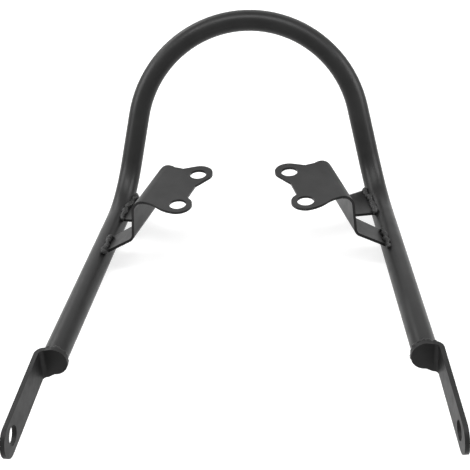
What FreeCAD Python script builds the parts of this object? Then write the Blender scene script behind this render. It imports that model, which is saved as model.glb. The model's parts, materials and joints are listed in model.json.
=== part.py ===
"""Hoop-shaped luggage rack for the tail of a motorcycle, welded from one bent tube and four folded plates.

Frame: +X is the rider's left, +Y points to the rear, +Z is up. The origin lies midway between the two front
bolt holes, on the underside of the seat brackets. All lengths are in millimetres and all angles in degrees.
"""
import FreeCAD
import Part
import math
import os
import Sketcher
from FreeCAD import Placement, Rotation, Vector

SIZES = {
    # bent tube
    "tube_diameter": 22.0,
    "tube_wall": 2.0,
    "hoop_radius": 117.8,
    "hoop_height": 68.1,
    "hoop_taper": 11.07,
    "hoop_lean": 31.2,
    "corner_bend": 68.7,
    "corner_behind": 120.2,
    "corner_drop": 69.6,
    "leg_flare": 4.74,
    "leg_rise": 4.0,
    "leg_length": 277.0,
    # seat bracket, folded from sheet
    "sheet_thickness": 2.5,
    "hole_half_span": 59.7,
    "hole_spacing": 54.3,
    "hole_diameter": 16.0,
    "ear_radius": 13.5,
    "ear_lead": 2.2,
    "ear_cheek": 30.0,
    "ear_shoulder": 32.0,
    "bracket_toe": 16.4,
    "waist_inset": 4.5,
    "waist_rear": 34.5,
    "front_sweep": 34.0,
    "front_hollow": 30.0,
    "dip_across": 18.0,
    "dip_behind": 61.0,
    "bump_radius": 11.5,
    "bump_shoulder": 35.0,
    "web_reach": 45.5,
    "web_front": 4.0,
    "web_rear": 64.0,
    "top_fold": 11.0,
    "foot_fold": 6.0,
    "foot_front": 14.0,
    "foot_rear": 47.0,
    "flange_angle": 31.0,
    "flange_lift": 1.6,
    "toe_sweep": 9.0,
    "heel_sweep": 46.0,
    "notch_root": 20.0,
    "notch_gap": 5.0,
    "notch_width": 2.0,
    "notch_front_sweep": 18.0,
    "notch_rear_sweep": 36.0,
    # end strap, folded from flat bar
    "strap_thickness": 4.0,
    "strap_width": 28.0,
    "strap_inset": 1.2,
    "strap_slope": 5.0,
    "strap_fold": 4.0,
    "tab_margin": 2.0,
    "strap_hole_diameter": 16.5,
    "strap_hole_reach": 85.8,
    "strap_hole_drop": 9.4,
    "strap_tip_lead": 6.0,
    # weld beads
    "ring_bead": 3.0,
    "seam_bead": 3.2,
}
# how far the cutting and trimming solids stand past what they trim
SPARE = 60.0

doc = FreeCAD.newDocument("luggage_rack")
sheet = doc.addObject("Spreadsheet::Sheet", "sizes")
for row, (alias, value) in enumerate(SIZES.items(), start=1):
    sheet.set(f"A{row}", alias)
    sheet.set(f"B{row}", str(value))
    sheet.setAlias(f"B{row}", alias)
doc.recompute()


def size(alias):
    """Value of one cell of the sheet."""
    return float(sheet.get(alias))


# Sketches, extrusions and booleans

ACROSS_UP = Rotation(Vector(1, 0, 0), Vector(0, 0, 1), Vector(0, -1, 0), "XYZ")
BACK_UP = Rotation(Vector(0, 1, 0), Vector(0, 0, 1), Vector(1, 0, 0), "XYZ")
FRONT_UP = Rotation(Vector(0, -1, 0), Vector(0, 0, 1), Vector(-1, 0, 0), "XYZ")
FLAT = Rotation()


def outline(name, turn, start, *moves):
    """Closed sketch: each move is (x, y) for a line or (x, y, radius, side) for an arc to that point.

    Coordinates and radii are expressions in the sheet's cells. Side is +1 where the arc bulges to the right of
    its chord and -1 where it bulges to the left.
    """
    sketch = doc.addObject("Sketcher::SketchObject", name)
    sketch.Placement = Placement(Vector(), turn)
    corners = [start] + [move[:2] for move in moves]
    places = [Vector(sketch.evalExpression(x), sketch.evalExpression(y), 0) for x, y in corners]
    for move, first, last in zip(moves, places, places[1:]):
        if len(move) == 2:
            sketch.addGeometry(Part.LineSegment(first, last), False)
            continue
        chord = last - first
        radius = float(sketch.evalExpression(move[2]))
        depth = radius - math.sqrt(max(radius**2 - chord.Length**2 / 4, 0))
        bulge = Vector(chord.y, -chord.x, 0).normalize() * depth * move[3]
        sketch.addGeometry(Part.Arc(first, (first + last) / 2 + bulge, last), False)
    for index, move in enumerate(moves):
        constrain(sketch, index, corners[index], move)
    return sketch


def first_and_last(sketch, index):
    """Point numbers of a segment in drawing order: an arc that turns clockwise keeps them swapped."""
    clockwise = isinstance(sketch.Geometry[index], Part.ArcOfCircle) and sketch.Geometry[index].Axis.z < 0
    return (2, 1) if clockwise else (1, 2)


def constrain(sketch, index, corner, move):
    """Joins a segment to the one before it and binds its first corner, and an arc's radius, to the sheet."""
    before = (index - 1) % len(sketch.Geometry)
    first = first_and_last(sketch, index)[0]
    join = Sketcher.Constraint("Coincident", before, first_and_last(sketch, before)[1], index, first)
    sketch.addConstraint(join)
    place = sketch.getPoint(index, first)
    bound = [
        (Sketcher.Constraint("DistanceX", -1, 1, index, first, place.x), corner[0]),
        (Sketcher.Constraint("DistanceY", -1, 1, index, first, place.y), corner[1]),
    ]
    if len(move) > 2:
        bound.append((Sketcher.Constraint("Radius", index, sketch.Geometry[index].Radius), move[2]))
    for constraint, expression in bound:
        number = sketch.addConstraint(constraint)
        sketch.setExpression(f"Constraints[{number}]", expression)


def extrude(name, sketch, direction, start, end):
    """Solid between two distances, given as expressions, along a direction from the sketch's plane."""
    solid = doc.addObject("Part::Extrusion", name)
    solid.Base = sketch
    solid.DirMode = "Custom"
    solid.Dir = direction
    solid.Solid = True
    solid.setExpression("LengthFwd", end)
    solid.setExpression("LengthRev", f"-({start})")
    return solid


def cylinder(name, radius, height, placement):
    """Round solid whose radius and height are expressions."""
    solid = doc.addObject("Part::Cylinder", name)
    solid.setExpression("Radius", radius)
    solid.setExpression("Height", height)
    solid.Placement = placement
    return solid


def boolean(kind, name, base, tool, placement=Placement()):
    """Part::Cut, Part::Common or Part::Fuse of two objects."""
    result = doc.addObject("Part::" + kind, name)
    result.Base = base
    result.Tool = tool
    result.Placement = placement
    return result


# Bent tube: two straight legs, two corner bends, two upper legs and the hoop

leg_turn = Rotation(Vector(0, 0, 1), size("leg_flare")) * Rotation(Vector(1, 0, 0), -size("leg_rise"))
leg_forward = leg_turn.multVec(Vector(0, -1, 0))
taper = math.radians(size("hoop_taper"))
lean = math.radians(size("hoop_lean"))
hoop_up = Vector(0, math.sin(lean), math.cos(lean))
upper_leg = hoop_up * math.cos(taper) - Vector(math.sin(taper), 0, 0)
corner_x = (size("hoop_radius") + size("hoop_height") * math.sin(taper)) / math.cos(taper)
corner = Vector(corner_x, size("corner_behind"), -size("corner_drop"))
leg_end = corner + leg_forward * size("leg_length")
half_turn = leg_forward.getAngle(-upper_leg) / 2
bend_run = size("corner_bend") * math.tan(half_turn)
bend_start = corner + leg_forward * bend_run


def mirrored(point):
    """The same point on the rider's right."""
    return Vector(-point.x, point.y, point.z)


def tube_path():
    """Centre line of the tube, from the left leg's end over the hoop to the right leg's end."""
    inward = (leg_forward + upper_leg).normalize()
    sagitta = size("corner_bend") * (1 / math.cos(half_turn) - 1)
    hoop_centre = Vector(0, corner.y, corner.z) + hoop_up * size("hoop_height")
    hoop_start = hoop_centre + Vector(math.cos(taper), 0, 0) * size("hoop_radius")
    hoop_start += hoop_up * size("hoop_radius") * math.sin(taper)
    bend_middle = corner + inward * sagitta
    left = [leg_end, bend_start, bend_middle, corner + upper_leg * bend_run, hoop_start]
    right = [mirrored(point) for point in left]
    top = hoop_centre + hoop_up * size("hoop_radius")
    return Part.Wire([
        Part.LineSegment(left[0], left[1]).toShape(),
        Part.Arc(left[1], left[2], left[3]).toShape(),
        Part.LineSegment(left[3], left[4]).toShape(),
        Part.Arc(left[4], top, right[4]).toShape(),
        Part.LineSegment(right[4], right[3]).toShape(),
        Part.Arc(right[3], right[2], right[1]).toShape(),
        Part.LineSegment(right[1], right[0]).toShape(),
    ])


def pipe(name, radius):
    """Round bar of the given radius along the tube's centre line."""
    circle = Part.Circle(leg_end, leg_forward, radius).toShape()
    bar = doc.addObject("Part::Feature", name)
    bar.Shape = tube_path().makePipeShell([Part.Wire([circle])], True, False)
    return bar


tube_outside = pipe("tube_outside", size("tube_diameter") / 2)
tube_inside = pipe("tube_inside", size("tube_diameter") / 2 - size("tube_wall"))
tube_swollen = pipe("tube_swollen", size("tube_diameter") / 2 + size("seam_bead"))
hoop_tube = boolean("Cut", "hoop_tube", tube_outside, tube_inside)

# Everything outboard of a plane inside the left leg, past which no bracket reaches
outboard = doc.addObject("Part::Box", "outboard")
outboard.setExpression("Length", "sizes.leg_length")
outboard.setExpression("Width", "2 * sizes.leg_length")
outboard.setExpression("Height", "2 * sizes.leg_length")
box_corner = Vector(-size("tube_diameter") / 4, -size("leg_length"), -size("leg_length"))
outboard.Placement = Placement(corner, leg_turn) * Placement(box_corner, FLAT)


# Seat bracket: drawn with X outwards from the front hole, Y rearwards along the folds and Z up

bracket_place = Placement(Vector(size("hole_half_span"), 0, 0), Rotation(Vector(0, 0, 1), size("bracket_toe")))


def in_bracket(point):
    """A point of the model in the bracket's own frame."""
    return bracket_place.inverse().multVec(point)


def heel_station():
    """Distance along the folds at which the rear foot's slanted edge has run into the tube by its wall."""
    along = bracket_place.Rotation.inverted().multVec(leg_forward)
    lean_in = -along.x / along.y
    beside = size("tube_diameter") / 2 * math.hypot(1, lean_in)
    slope = math.tan(math.radians(size("heel_sweep")))
    start = in_bracket(corner).x - lean_in * (size("foot_rear") - in_bracket(corner).y) - beside
    run = (start - size("web_reach")) / (1 + lean_in * slope)
    return size("foot_rear") + run * slope + size("tube_wall")


# the flange is drawn from the web past the leg at its widest, and trimmed to the tube later
FLANGE_REACH = in_bracket(corner).x - size("web_reach") + size("tube_diameter") / 2
# where the corner bend starts, the flange's upper face passes over the leg's axis by its lift
FLANGE_SLOPE = math.tan(math.radians(size("flange_angle")))
flange_run = in_bracket(bend_start).x - size("web_reach")
WEB_DROP = -in_bracket(bend_start).z - flange_run * FLANGE_SLOPE - size("flange_lift")
FLANGE_EDGE = f"(sizes.web_reach + {FLANGE_REACH})"
SPAN = f"(sizes.web_rear + 2 * {FLANGE_REACH})"
FOLD = "(sizes.web_reach - sizes.top_fold)"
SHEET = "sizes.sheet_thickness"
# tangent length of the foot's fold, from the corner where web and flange would meet
FOOT_RUN = "sizes.foot_fold * tan((90 - sizes.flange_angle) / 2)"
FLANGE_SINK = f"({FLANGE_REACH} * {FLANGE_SLOPE})"
HEEL = f"{heel_station()}"


def folded_blank():
    """Plate, web and flange of the sheet, in one section."""
    outer_foot = f"(sizes.web_reach + {FOOT_RUN} * cos(sizes.flange_angle))"
    outer_foot_drop = f"-({WEB_DROP} + {FOOT_RUN} * sin(sizes.flange_angle))"
    below = f"{SHEET} * sin(sizes.flange_angle)"
    beneath = f"{SHEET} * cos(sizes.flange_angle)"
    section = outline(
        "bracket_section", ACROSS_UP,
        (f"-{SPARE}", SHEET),
        (FOLD, SHEET),
        ("sizes.web_reach", f"{SHEET} - sizes.top_fold", "sizes.top_fold", -1),
        ("sizes.web_reach", f"-{WEB_DROP} + {FOOT_RUN}"),
        (outer_foot, outer_foot_drop, "sizes.foot_fold", 1),
        (FLANGE_EDGE, f"-{WEB_DROP} - {FLANGE_SINK}"),
        (f"{FLANGE_EDGE} - {below}", f"-{WEB_DROP} - {FLANGE_SINK} - {beneath}"),
        (f"{outer_foot} - {below}", f"{outer_foot_drop} - {beneath}"),
        (f"sizes.web_reach - {SHEET}", f"-{WEB_DROP} + {FOOT_RUN}", f"sizes.foot_fold + {SHEET}", -1),
        (f"sizes.web_reach - {SHEET}", f"{SHEET} - sizes.top_fold"),
        (FOLD, "0", f"sizes.top_fold - {SHEET}", 1),
        (f"-{SPARE}", "0"),
        (f"-{SPARE}", SHEET),
    )
    return extrude("bracket_blank", section, Vector(0, 1, 0), f"-{SPAN}", SPAN)


def eared_plate():
    """Plan of the flat plate: two ears, a straight waist between them, and a wavy rear edge."""
    sweep_centre = "(sizes.front_sweep - sizes.ear_radius)"
    apart = f"({sweep_centre} + sizes.web_front + sizes.front_hollow)"
    radii = "(sizes.front_sweep + sizes.front_hollow)"
    hollow_across = f"sqrt({radii} ^ 2 - {apart} ^ 2)"
    share = f"(sizes.front_sweep / {radii})"
    ear_to_waist = "sqrt(sizes.ear_radius ^ 2 - sizes.waist_inset ^ 2)"
    ear_centre = "(sizes.hole_spacing + sizes.ear_lead)"
    bump_centre = "(sizes.web_rear - sizes.bump_radius)"
    plan = outline(
        "bracket_plan", FLAT,
        (FOLD, "-sizes.web_front"),
        (FOLD, "sizes.web_rear"),
        (f"{FOLD} - sizes.bump_radius * sin(sizes.bump_shoulder)",
         f"{bump_centre} + sizes.bump_radius * cos(sizes.bump_shoulder)", "sizes.bump_radius", 1),
        ("sizes.dip_across", "sizes.dip_behind"),
        ("sizes.ear_radius * sin(sizes.ear_shoulder)",
         f"{ear_centre} + sizes.ear_radius * cos(sizes.ear_shoulder)"),
        ("-sizes.ear_radius", ear_centre, "sizes.ear_radius", 1),
        ("-sizes.ear_radius * cos(sizes.ear_cheek)",
         f"{ear_centre} - sizes.ear_radius * sin(sizes.ear_cheek)", "sizes.ear_radius", 1),
        ("-sizes.waist_inset", "sizes.waist_rear"),
        ("-sizes.waist_inset", ear_to_waist),
        ("-sizes.ear_radius", "0", "sizes.ear_radius", 1),
        ("0", "-sizes.ear_radius", "sizes.ear_radius", 1),
        (f"{hollow_across} * {share}", f"{sweep_centre} - {apart} * {share}", "sizes.front_sweep", 1),
        (hollow_across, "-sizes.web_front", "sizes.front_hollow", -1),
        (FOLD, "-sizes.web_front"),
    )
    return extrude("bracket_ears", plan, Vector(0, 0, 1), f"-{SHEET}", f"2 * {SHEET}")


def side_trim():
    """Side view of the fold, web and flange: what lies outboard of the flat plate."""
    profile = outline(
        "bracket_side", BACK_UP,
        ("-sizes.web_front", SHEET),
        ("-sizes.foot_front", f"-{WEB_DROP}"),
        (f"-sizes.foot_front - {FLANGE_REACH} * tan(sizes.toe_sweep)", f"-{WEB_DROP} - {FLANGE_SINK}"),
        (HEEL, f"-{WEB_DROP} - {FLANGE_SINK}"),
        (HEEL, f"-{WEB_DROP} - ({HEEL} - sizes.foot_rear) / tan(sizes.heel_sweep) * {FLANGE_SLOPE}"),
        ("sizes.foot_rear", f"-{WEB_DROP}"),
        ("sizes.web_rear", SHEET),
        ("-sizes.web_front", SHEET),
    )
    return extrude("bracket_trim", profile, Vector(1, 0, 0), FOLD, FLANGE_EDGE)


def flange_notch():
    """Wedge that parts the flange into a front foot and a rear foot."""
    root = "sizes.web_reach + sizes.notch_gap"
    front = "sizes.notch_root - sizes.notch_width / 2"
    rear = "sizes.notch_root + sizes.notch_width / 2"
    plan = outline(
        "notch_plan", FLAT,
        (root, front),
        (f"{root} + {FLANGE_REACH}", f"{front} - {FLANGE_REACH} * tan(sizes.notch_front_sweep)"),
        (f"{root} + {FLANGE_REACH}", f"{rear} + {FLANGE_REACH} * tan(sizes.notch_rear_sweep)"),
        (root, rear),
        (root, front),
    )
    return extrude("notch", plan, Vector(0, 0, 1), f"-{WEB_DROP} - 2 * {FLANGE_SINK}", "0")


trim = side_trim()
notch = flange_notch()


def seat_bracket():
    """Left bracket: the folded sheet, trimmed, drilled and coped to the tube."""
    kept = boolean("Fuse", "bracket_outline", eared_plate(), trim)
    sheet_metal = boolean("Common", "bracket_sheet", folded_blank(), kept)
    notched = boolean("Cut", "bracket_notched", sheet_metal, notch)
    drop = Vector(0, 0, -size("sheet_thickness"))
    rear = Vector(0, size("hole_spacing"), 0)
    drills = [
        cylinder(name, "sizes.hole_diameter / 2", f"3 * {SHEET}", Placement(place, FLAT))
        for name, place in (("front_drill", drop), ("rear_drill", drop + rear))
    ]
    drilled = boolean("Cut", "bracket_front_hole", notched, drills[0])
    placed = boolean("Cut", "bracket_holes", drilled, drills[1], bracket_place)
    inboard = boolean("Cut", "bracket_inboard", placed, outboard)
    return boolean("Cut", "left_bracket", inboard, tube_outside)


def seam_weld(name, start, end):
    """Bead in the corner between the flange's upper face and the tube, over one foot of the flange."""
    lift = "sizes.seam_bead / cos(sizes.flange_angle)"
    near = f"sizes.web_reach + {FOOT_RUN}"
    section = outline(
        name + "_section", ACROSS_UP,
        (near, f"-{WEB_DROP} - {FOOT_RUN} * tan(sizes.flange_angle)"),
        (FLANGE_EDGE, f"-{WEB_DROP} - {FLANGE_SINK}"),
        (FLANGE_EDGE, f"-{WEB_DROP} - {FLANGE_SINK} + {lift}"),
        (near, f"-{WEB_DROP} - {FOOT_RUN} * tan(sizes.flange_angle) + {lift}"),
        (near, f"-{WEB_DROP} - {FOOT_RUN} * tan(sizes.flange_angle)"),
    )
    slab = extrude(name + "_slab", section, Vector(0, 1, 0), start, end)
    foot = boolean("Common", name + "_foot", slab, trim)
    placed = boolean("Cut", name + "_placed", foot, notch, bracket_place)
    inboard = boolean("Cut", name + "_inboard", placed, outboard)
    near_tube = boolean("Common", name + "_near_tube", inboard, tube_swollen)
    return boolean("Cut", name, near_tube, tube_outside)


# End strap: drawn with X outboard from the tube's end, Y rearwards along the leg and Z up

strap_place = Placement(leg_end, leg_turn)
INNER = "(sizes.tube_diameter / 2 - sizes.strap_inset)"
OUTER = f"({INNER} + sizes.strap_thickness)"
BAR = "sizes.strap_thickness"
TAB = "(sizes.tube_diameter / 2 + sizes.tab_margin)"
STRAP_FOLD = f"({INNER} - sizes.strap_fold)"
FOLD_LENGTH = f"(sizes.strap_fold + {BAR})"
STRAP_LENGTH = "(sizes.strap_hole_reach + sizes.strap_tip_lead + sizes.strap_width)"


def strap_edge(reach, side):
    """Height of the strap's upper (+1) or lower (-1) edge at a distance ahead of the tube's end."""
    middle_line = f"-sizes.strap_hole_drop + (sizes.strap_hole_reach - ({reach})) * tan(sizes.strap_slope)"
    return f"{middle_line} + {side} * sizes.strap_width / 2 / cos(sizes.strap_slope)"


def strap_blank():
    """Flat bar folded square: end tab, fold and strap, in one section."""
    section = outline(
        "strap_section", FLAT,
        (f"-{SPARE}", "0"),
        (f"-{SPARE}", f"-{BAR}"),
        (STRAP_FOLD, f"-{BAR}"),
        (INNER, f"-{FOLD_LENGTH}", "sizes.strap_fold", -1),
        (INNER, f"-{STRAP_LENGTH}"),
        (OUTER, f"-{STRAP_LENGTH}"),
        (OUTER, f"-{FOLD_LENGTH}"),
        (STRAP_FOLD, "0", FOLD_LENGTH, 1),
        (f"-{SPARE}", "0"),
    )
    return extrude("strap_blank", section, Vector(0, 0, 1), f"-{SPARE}", f"{SPARE}")


def tab_trim():
    """Front view of the end tab: round on its inner side, running out into the strap on the other."""
    view = outline(
        "tab_view", ACROSS_UP,
        ("0", TAB),
        (f"-{TAB}", "0", TAB, 1),
        ("0", f"-{TAB}", TAB, 1),
        (STRAP_FOLD, strap_edge(BAR, -1)),
        (STRAP_FOLD, strap_edge(BAR, 1)),
        ("0", TAB),
    )
    return extrude("tab_trim", view, Vector(0, 1, 0), f"-2 * {BAR}", BAR)


def strap_trim():
    """Side view of the strap: parallel edges that slope down to a round tip."""
    lead = "sizes.strap_tip_lead"
    half = "sizes.strap_width / 2"
    tip_reach = f"(sizes.strap_hole_reach + {lead} * cos(sizes.strap_slope))"
    tip_height = f"(-sizes.strap_hole_drop - {lead} * sin(sizes.strap_slope))"
    across = f"{half} * sin(sizes.strap_slope)"
    upright = f"{half} * cos(sizes.strap_slope)"
    view = outline(
        "strap_view", FRONT_UP,
        ("0", strap_edge("0", -1)),
        (f"{tip_reach} - {across}", f"{tip_height} - {upright}"),
        (f"{tip_reach} + {upright}", f"{tip_height} - {across}", half, 1),
        (f"{tip_reach} + {across}", f"{tip_height} + {upright}", half, 1),
        ("0", strap_edge("0", 1)),
        ("0", strap_edge("0", -1)),
    )
    return extrude("strap_trim", view, Vector(1, 0, 0), STRAP_FOLD, f"{OUTER} + {BAR}")


def end_strap():
    """Left strap: folded bar with an end tab on the tube and a bolt hole near its tip."""
    kept = boolean("Fuse", "strap_outline", tab_trim(), strap_trim())
    bar = boolean("Common", "strap_bar", strap_blank(), kept)
    hole_place = Vector(0, -size("strap_hole_reach"), -size("strap_hole_drop"))
    sideways = Placement(hole_place, Rotation(Vector(0, 1, 0), 90))
    drill = cylinder("strap_drill", "sizes.strap_hole_diameter / 2", f"{OUTER} + {BAR}", sideways)
    return boolean("Cut", "left_strap", bar, drill, strap_place)


def ring_weld():
    """Left fillet bead all round the tube, on the back of the end tab."""
    bead = doc.addObject("Part::Cone", "ring_bead_cone")
    bead.setExpression("Radius1", TAB)
    bead.setExpression("Radius2", "sizes.tube_diameter / 2")
    bead.setExpression("Height", "sizes.ring_bead")
    rearwards = Placement(Vector(), Rotation(Vector(1, 0, 0), -90))
    bead.Placement = rearwards
    core = cylinder("ring_bead_core", "sizes.tube_diameter / 2", "2 * sizes.ring_bead", rearwards)
    return boolean("Cut", "left_ring_weld", bead, core, strap_place)


# The left pieces and their mirror images on the right

left_pieces = [
    seat_bracket(),
    seam_weld("left_front_weld", f"-{SPAN}", "sizes.notch_root"),
    seam_weld("left_rear_weld", "sizes.notch_root", SPAN),
    end_strap(),
    ring_weld(),
]
pieces = [hoop_tube]
for left in left_pieces:
    right = doc.addObject("Part::Mirroring", left.Name.replace("left", "right"))
    right.Source = left
    right.Normal = Vector(1, 0, 0)
    pieces += [left, right]

doc.recompute()
for item in doc.Objects:
    if {"Invalid", "Error"} & set(item.State):
        raise RuntimeError(f"{item.Name} failed: {item.State}")
for piece in pieces:
    piece.Label = piece.Name
    if piece.Shape.isNull() or not piece.Shape.isValid() or len(piece.Shape.Solids) != 1:
        raise RuntimeError(f"{piece.Name} is not one valid solid")

os.makedirs("parts", exist_ok=True)
for piece in pieces:
    piece.Shape.exportStep(f"parts/{piece.Label}.step")
    print(f"{piece.Label}: {piece.Shape.Volume / 1000:.2f} cubic centimetres")
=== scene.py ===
"""Studio picture of a hoop-shaped motorcycle luggage rack in matt black powder coat.

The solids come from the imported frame. This script adds materials, lumpy weld beads, a floor, lights
and a camera. Frame: +X is the rider's left, +Y points to the rear, +Z is up. Lengths are in metres.
"""

import json
import math
import random

import bmesh
import bpy
from mathutils import Matrix, Vector


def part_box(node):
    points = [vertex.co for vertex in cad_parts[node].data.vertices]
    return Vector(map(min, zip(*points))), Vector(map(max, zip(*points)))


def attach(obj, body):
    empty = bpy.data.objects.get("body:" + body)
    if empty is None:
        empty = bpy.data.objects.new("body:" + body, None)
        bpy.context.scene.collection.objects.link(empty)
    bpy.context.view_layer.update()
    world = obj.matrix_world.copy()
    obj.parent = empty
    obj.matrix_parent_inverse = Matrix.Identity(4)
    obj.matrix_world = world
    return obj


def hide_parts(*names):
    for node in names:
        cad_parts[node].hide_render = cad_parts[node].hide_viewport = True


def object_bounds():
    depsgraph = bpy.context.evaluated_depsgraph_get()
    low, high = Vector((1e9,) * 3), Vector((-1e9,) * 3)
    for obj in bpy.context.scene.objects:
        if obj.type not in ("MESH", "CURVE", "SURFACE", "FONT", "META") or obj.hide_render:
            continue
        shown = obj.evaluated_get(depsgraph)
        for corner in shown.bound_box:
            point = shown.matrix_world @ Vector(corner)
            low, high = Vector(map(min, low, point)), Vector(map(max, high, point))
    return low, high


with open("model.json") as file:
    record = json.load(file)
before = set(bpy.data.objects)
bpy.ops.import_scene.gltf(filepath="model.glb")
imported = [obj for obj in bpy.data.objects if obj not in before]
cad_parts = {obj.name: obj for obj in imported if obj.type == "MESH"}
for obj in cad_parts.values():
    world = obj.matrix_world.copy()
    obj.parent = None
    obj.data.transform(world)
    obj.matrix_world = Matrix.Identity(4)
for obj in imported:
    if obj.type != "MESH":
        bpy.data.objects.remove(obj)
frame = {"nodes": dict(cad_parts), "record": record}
nodes = frame["nodes"]
size_at_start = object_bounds()
scene = bpy.context.scene


# Camera, fitted to the photo

CAMERA_PLACE = (0.06626, -0.82025, 0.53545)
CAMERA_YAW = math.radians(5.188)
CAMERA_TILT = math.radians(90 - 34.678)
CAMERA_ROLL = math.radians(-4.387)
LENS_MM = 80.73
SENSOR_MM = 36.0

lens = bpy.data.cameras.new("camera")
lens.lens = LENS_MM
lens.sensor_width = SENSOR_MM
camera = bpy.data.objects.new("camera", lens)
camera.matrix_world = (
    Matrix.Translation(CAMERA_PLACE)
    @ Matrix.Rotation(CAMERA_YAW, 4, "Z")
    @ Matrix.Rotation(CAMERA_TILT, 4, "X")
    @ Matrix.Rotation(CAMERA_ROLL, 4, "Z")
)
scene.collection.objects.link(camera)
scene.camera = camera
scene.view_settings.view_transform = "Standard"


# Materials: noise scales are in features per metre

COAT_GLOSS = 0.2
CLOUD_SCALE = 35
SHEEN_SCALE = 90
GRAIN_STRENGTH = 0.6
NOISE_LOW = 0.3
NOISE_HIGH = 0.7


def empty_material(name):
    """New material, its empty node tree and its output node."""
    material = bpy.data.materials.new(name)
    material.use_nodes = True
    tree = material.node_tree
    tree.nodes.clear()
    return material, tree, tree.nodes.new("ShaderNodeOutputMaterial")


def noise(tree, scale, detail):
    """Noise over the object's own coordinates."""
    place = tree.nodes.new("ShaderNodeTexCoord")
    texture = tree.nodes.new("ShaderNodeTexNoise")
    texture.inputs["Scale"].default_value = scale
    texture.inputs["Detail"].default_value = detail
    tree.links.new(place.outputs["Object"], texture.inputs["Vector"])
    return texture.outputs["Fac"]


def spread(tree, value, low, high):
    """The middle of a noise stretched to run from low to high."""
    stretch = tree.nodes.new("ShaderNodeMapRange")
    stretch.inputs["From Min"].default_value = NOISE_LOW
    stretch.inputs["From Max"].default_value = NOISE_HIGH
    stretch.inputs["To Min"].default_value = low
    stretch.inputs["To Max"].default_value = high
    tree.links.new(value, stretch.inputs["Value"])
    return stretch.outputs["Result"]


def powder_coat(name, tone, roughness, grain_size, grain_height):
    """Black coat: a cloudy tone and an uneven roughness, each from low to high, and a fine grain."""
    material, tree, output = empty_material(name)
    shader = tree.nodes.new("ShaderNodeBsdfPrincipled")
    shader.inputs["Specular IOR Level"].default_value = COAT_GLOSS
    grey = tree.nodes.new("ShaderNodeCombineColor")
    cloud = spread(tree, noise(tree, CLOUD_SCALE, detail=3), *tone)
    for channel in ("Red", "Green", "Blue"):
        tree.links.new(cloud, grey.inputs[channel])
    tree.links.new(grey.outputs["Color"], shader.inputs["Base Color"])
    sheen = spread(tree, noise(tree, SHEEN_SCALE, detail=2), *roughness)
    tree.links.new(sheen, shader.inputs["Roughness"])
    bump = tree.nodes.new("ShaderNodeBump")
    bump.inputs["Strength"].default_value = GRAIN_STRENGTH
    bump.inputs["Distance"].default_value = grain_height
    tree.links.new(noise(tree, 1 / grain_size, detail=2), bump.inputs["Height"])
    tree.links.new(bump.outputs["Normal"], shader.inputs["Normal"])
    tree.links.new(shader.outputs["BSDF"], output.inputs["Surface"])
    return material


FINE_GRAIN = {"grain_size": 0.0009, "grain_height": 0.00006}
WELD_GRAIN = {"grain_size": 0.0012, "grain_height": 0.00025}
MATERIALS = {
    "tube": powder_coat("tube_coat", tone=(0.008, 0.013), roughness=(0.33, 0.41), **FINE_GRAIN),
    "bracket": powder_coat("bracket_coat", tone=(0.008, 0.013), roughness=(0.33, 0.41), **FINE_GRAIN),
    "strap": powder_coat("strap_coat", tone=(0.007, 0.011), roughness=(0.46, 0.54), **FINE_GRAIN),
    "weld": powder_coat("weld_coat", tone=(0.010, 0.032), roughness=(0.30, 0.50), **WELD_GRAIN),
}
slot_of = {part["node"]: part["material_slot"] for part in frame["record"]["subparts"]}
for name, node in nodes.items():
    for place in node.material_slots:
        place.material = MATERIALS[slot_of[name]]


# Weld beads: overlapping lumps along each seam, merged into one skin

TUBE_RADIUS = 0.011
LEG_FLARE = math.radians(4.74)
LEG_RISE = math.radians(4.0)
SEAM_LUMP = 0.0028
RING_LUMP = 0.0017
LUMP_STEP = 0.0021
LUMP_SPREAD = 0.34
LUMPS_AHEAD = {"front_weld": 3, "rear_weld": 0}
LUMP_SEED = 7
BEAD_VOXEL = 0.0005

chance = random.Random(LUMP_SEED)


def cut_middle(node, distance):
    """Middle of the section through a node at one distance along Y."""
    mesh = bmesh.new()
    mesh.from_mesh(node.data)
    mesh.transform(node.matrix_world)
    everything = mesh.verts[:] + mesh.edges[:] + mesh.faces[:]
    plane = {"plane_co": (0, distance, 0), "plane_no": (0, 1, 0)}
    cut = bmesh.ops.bisect_plane(mesh, geom=everything, **plane)["geom_cut"]
    corners = [part.co.copy() for part in cut if isinstance(part, bmesh.types.BMVert)]
    mesh.free()
    return sum(corners, Vector()) / len(corners)


def seam_line(node, ahead):
    """Points along a seam bead, a lump's step apart; ahead is how many more lie in front of the seam."""
    low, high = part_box(node.name)
    start = low[1] + SEAM_LUMP / 2
    count = max(2, round((high[1] - low[1] - SEAM_LUMP) / LUMP_STEP))
    points = [cut_middle(node, start + LUMP_STEP * index) for index in range(count)]
    step = (points[0] - points[-1]) / (count - 1)
    return [points[0] + step * index for index in range(ahead, 0, -1)] + points


def ring_line(node, side):
    """Points round the tube behind an end tab; side is +1 on the left and -1 on the right."""
    low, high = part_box(node.name)
    centre = (Vector(low) + Vector(high)) / 2
    turn = Matrix.Rotation(side * LEG_FLARE, 3, "Z") @ Matrix.Rotation(-LEG_RISE, 3, "X")
    radius = TUBE_RADIUS + RING_LUMP / 4
    count = round(2 * math.pi * radius / LUMP_STEP)
    angles = [2 * math.pi * index / count for index in range(count)]
    spokes = [Vector((math.cos(angle), 0, math.sin(angle))) for angle in angles]
    return [centre + turn @ (radius * spoke) for spoke in spokes]


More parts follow.
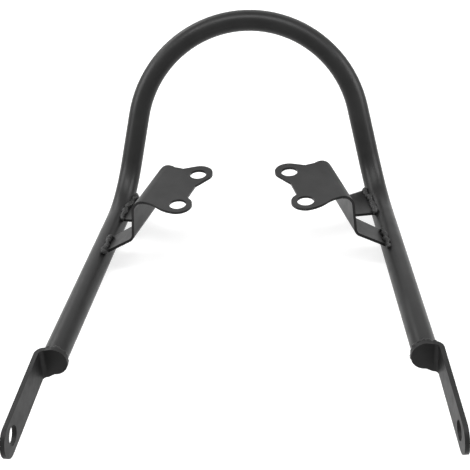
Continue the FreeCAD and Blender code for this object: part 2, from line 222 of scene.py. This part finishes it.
def bead(name, node, points, radius):
    """Skin over overlapping lumps of uneven size, one at each point, in place of a node's plain bead."""
    mesh = bmesh.new()
    for point in points:
        jitter = Vector([chance.uniform(-1, 1) for axis in range(3)]) * radius * LUMP_SPREAD
        lump = radius * chance.uniform(1 - LUMP_SPREAD, 1 + LUMP_SPREAD)
        place = Matrix.Translation(point + jitter)
        bmesh.ops.create_icosphere(mesh, subdivisions=2, radius=lump, matrix=place)
    data = bpy.data.meshes.new(name)
    mesh.to_mesh(data)
    mesh.free()
    data.materials.append(MATERIALS["weld"])
    piece = bpy.data.objects.new(name, data)
    scene.collection.objects.link(piece)
    skin = piece.modifiers.new("skin", "REMESH")
    skin.mode = "VOXEL"
    skin.voxel_size = BEAD_VOXEL
    skin.use_smooth_shade = True
    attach(piece, "root")
    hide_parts(node.name)


for side_name, side in (("left", 1), ("right", -1)):
    for seam, ahead in LUMPS_AHEAD.items():
        node = nodes[f"{side_name}_{seam}"]
        bead(f"{side_name}_{seam}_bead", node, seam_line(node, ahead), SEAM_LUMP)
    node = nodes[f"{side_name}_ring_weld"]
    bead(f"{side_name}_ring_bead", node, ring_line(node, side), RING_LUMP)


# Floor and world: dimmer as a source of light than as the camera and reflections see them

FLOOR_HALF = 6.0
FLOOR_TONE = (0.5, 0.5, 0.5, 1)
FLOOR_GLOW = 0.7
WORLD_LIGHT = 0.2
WHITE = (1, 1, 1, 1)


def strength_by_ray(tree, plain, seen):
    """One strength for rays from the camera and mirrored or refracted rays, another for the rest."""
    path = tree.nodes.new("ShaderNodeLightPath")
    share = path.outputs["Is Camera Ray"]
    for kind in ("Is Glossy Ray", "Is Transmission Ray"):
        either = tree.nodes.new("ShaderNodeMath")
        either.operation = "MAXIMUM"
        tree.links.new(share, either.inputs[0])
        tree.links.new(path.outputs[kind], either.inputs[1])
        share = either.outputs["Value"]
    strength = tree.nodes.new("ShaderNodeMapRange")
    strength.inputs["To Min"].default_value = plain
    strength.inputs["To Max"].default_value = seen
    tree.links.new(share, strength.inputs["Value"])
    return strength.outputs["Result"]


floor_low = size_at_start[0][2]
floor_corners = [
    (x * FLOOR_HALF, y * FLOOR_HALF, floor_low)
    for x, y in ((-1, -1), (1, -1), (1, 1), (-1, 1))
]
floor_mesh = bpy.data.meshes.new("floor")
floor_mesh.from_pydata(floor_corners, [], [(0, 1, 2, 3)])
floor = bpy.data.objects.new("floor", floor_mesh)
scene.collection.objects.link(floor)

floor_material, tree, output = empty_material("floor")
matt = tree.nodes.new("ShaderNodeBsdfDiffuse")
matt.inputs["Color"].default_value = FLOOR_TONE
glow = tree.nodes.new("ShaderNodeEmission")
glow.inputs["Color"].default_value = WHITE
tree.links.new(strength_by_ray(tree, plain=0, seen=FLOOR_GLOW), glow.inputs["Strength"])
both = tree.nodes.new("ShaderNodeAddShader")
tree.links.new(matt.outputs["BSDF"], both.inputs[0])
tree.links.new(glow.outputs["Emission"], both.inputs[1])
tree.links.new(both.outputs["Shader"], output.inputs["Surface"])
floor_mesh.materials.append(floor_material)

world = bpy.data.worlds.new("studio")
scene.world = world
world.use_nodes = True
tree = world.node_tree
tree.nodes.clear()
sky = tree.nodes.new("ShaderNodeBackground")
sky.inputs["Color"].default_value = WHITE
tree.links.new(strength_by_ray(tree, plain=WORLD_LIGHT, seen=1), sky.inputs["Strength"])
world_output = tree.nodes.new("ShaderNodeOutputWorld")
tree.links.new(sky.outputs["Background"], world_output.inputs["Surface"])


# Lights: sizes in metres, power in watts

def softbox(name, place, target, size, power):
    """Rectangular area light aimed at a point."""
    light = bpy.data.lights.new(name, "AREA")
    light.shape = "RECTANGLE"
    light.size, light.size_y = size
    light.energy = power
    lamp = bpy.data.objects.new(name, light)
    lamp.location = place
    lamp.rotation_euler = (Vector(target) - Vector(place)).to_track_quat("-Z", "Y").to_euler()
    scene.collection.objects.link(lamp)


MIDDLE = (0, 0, 0)
softbox("top_light", (0, -0.35, 1.7), (0, 0.05, 0), size=(1.6, 0.6), power=24)
softbox("left_light", (-1.4, 0, 0.95), MIDDLE, size=(1.0, 0.8), power=18)
softbox("rear_light", (0, 1.7, 1.15), MIDDLE, size=(2.2, 0.8), power=4.5)
softbox("rear_left_light", (-1.2, 1.35, 1.05), MIDDLE, size=(0.9, 0.7), power=8)
softbox("right_light", (1.4, 0, 0.95), MIDDLE, size=(1.0, 0.8), power=18)
